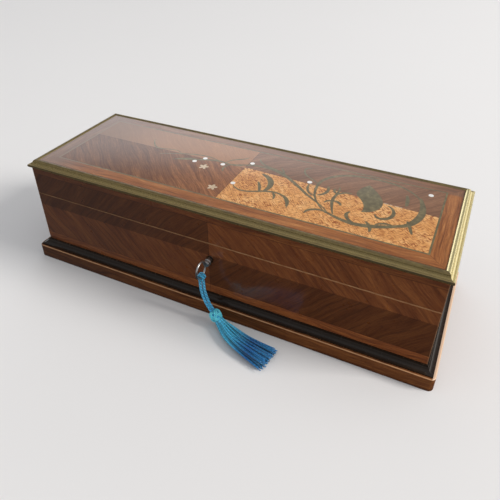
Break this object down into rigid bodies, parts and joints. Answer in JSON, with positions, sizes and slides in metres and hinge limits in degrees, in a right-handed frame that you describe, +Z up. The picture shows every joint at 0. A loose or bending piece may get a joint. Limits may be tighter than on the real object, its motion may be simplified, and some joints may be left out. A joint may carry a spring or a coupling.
{
  "type": "antique glove box",
  "caption": "Long low veneered glove box with a brass-edged hinged lid, ebonised base moulding, lock, key and hanging silk tassel.",
  "frame": {"origin": "middle of the flat face under the plinth", "axes": "+X along the length to the right of the front, front faces -Y, +Z up"},
  "size_m": [0.3096, 0.1427, 0.0847],
  "materials": {
    "rosewood_veneer": "french polished rosewood",
    "banding_veneer": "polished tulipwood crossbanding",
    "field_veneer": "polished quarter-matched rosewood and golden burr",
    "plinth_veneer": "polished, light at the worn arris",
    "light_edging": "polished light edging",
    "ebonised_wood": "black polish",
    "carcass_wood": "plain oiled softwood",
    "moulding_brass": "aged and rubbed",
    "inlay_brass": "flush, dulled under polish",
    "lock_brass": "filed and lacquered",
    "key_steel": "worn bright steel",
    "pearl": "mother of pearl",
    "silk_lining": "quilted silk satin",
    "tassel_silk": "bright blue silk threads"
  },
  "bodies": {
    "box": {"plinth_board": "carcass_wood", "plinth_edging": "plinth_veneer", "base_moulding_front": "ebonised_wood", "base_moulding_back": "ebonised_wood", "base_moulding_left": "ebonised_wood", "base_moulding_right": "ebonised_wood", "box_wall_front": "carcass_wood", "box_wall_back": "carcass_wood", "box_wall_left": "carcass_wood", "box_wall_right": "carcass_wood", "box_floor_board": "carcass_wood", "box_veneer_front": "rosewood_veneer", "box_veneer_back": "rosewood_veneer", "box_veneer_left": "rosewood_veneer", "box_veneer_right": "rosewood_veneer", "box_rim_edging": "light_edging", "lock_case": "lock_brass", "lock_cap_plate": "lock_brass", "lock_drill_pin": "lock_brass", "lock_spring": "key_steel", "lock_screws": "lock_brass", "hinge_leaf_lower_left": "lock_brass", "hinge_leaf_lower_right": "lock_brass", "hinge_pin_left": "lock_brass", "hinge_pin_right": "lock_brass", "hinge_screws_lower": "lock_brass", "box_floor_pad": "silk_lining", "box_wall_lining": "silk_lining"},
    "lid": {"lid_rail_front": "carcass_wood", "lid_rail_back": "carcass_wood", "lid_rail_left": "carcass_wood", "lid_rail_right": "carcass_wood", "lid_top_board": "carcass_wood", "lid_veneer_front": "rosewood_veneer", "lid_veneer_back": "rosewood_veneer", "lid_veneer_left": "rosewood_veneer", "lid_veneer_right": "rosewood_veneer", "lid_banding": "banding_veneer", "lid_brass_line": "inlay_brass", "lid_field_veneer": "field_veneer", "lid_brass_scrolls": "inlay_brass", "lid_pearl_dots": "pearl", "lid_light_flowers": "light_edging", "edge_moulding_front": "moulding_brass", "edge_moulding_back": "moulding_brass", "edge_moulding_left": "moulding_brass", "edge_moulding_right": "moulding_brass", "hinge_leaf_upper_left": "lock_brass", "hinge_leaf_upper_right": "lock_brass", "lid_screws": "lock_brass", "lock_link_plate": "lock_brass", "lid_pad": "silk_lining", "lid_wall_lining": "silk_lining"},
    "key": {"key": "key_steel", "tassel_knot": "tassel_silk"},
    "lock_bolt": {"lock_bolt": "key_steel"},
    "tassel": {"tassel_cord_left": "tassel_silk", "tassel_cord_right": "tassel_silk", "tassel_head": "tassel_silk", "tassel_skirt": "tassel_silk"}
  },
  "joints": [
    {"name": "lid_hinge", "type": "hinge", "parent": "box", "child": "lid", "pos_m": [0, 0.0481, 0.05767], "axis": [-1, 0, 0], "range_deg": [0, 100]},
    {"name": "key_turn", "type": "hinge", "parent": "box", "child": "key", "pos_m": [0, -0.0494, 0.0438], "axis": [0, 1, 0], "range_deg": [0, 90]},
    {"name": "bolt_slide", "type": "slide", "parent": "box", "child": "lock_bolt", "axis": [-1, 0, 0], "range_m": [0, 0.004]},
    {"name": "tassel_hang", "type": "hinge", "parent": "key", "child": "tassel", "pos_m": [0, -0.0614, 0.038], "axis": [0, 1, 0], "range_deg": [-90, 0]}
  ],
  "couplings": [
    {"joint": "key_turn", "follows": "bolt_slide", "rad_per_m": 392.7},
    {"joint": "tassel_hang", "follows": "bolt_slide", "rad_per_m": -392.7}
  ]
}
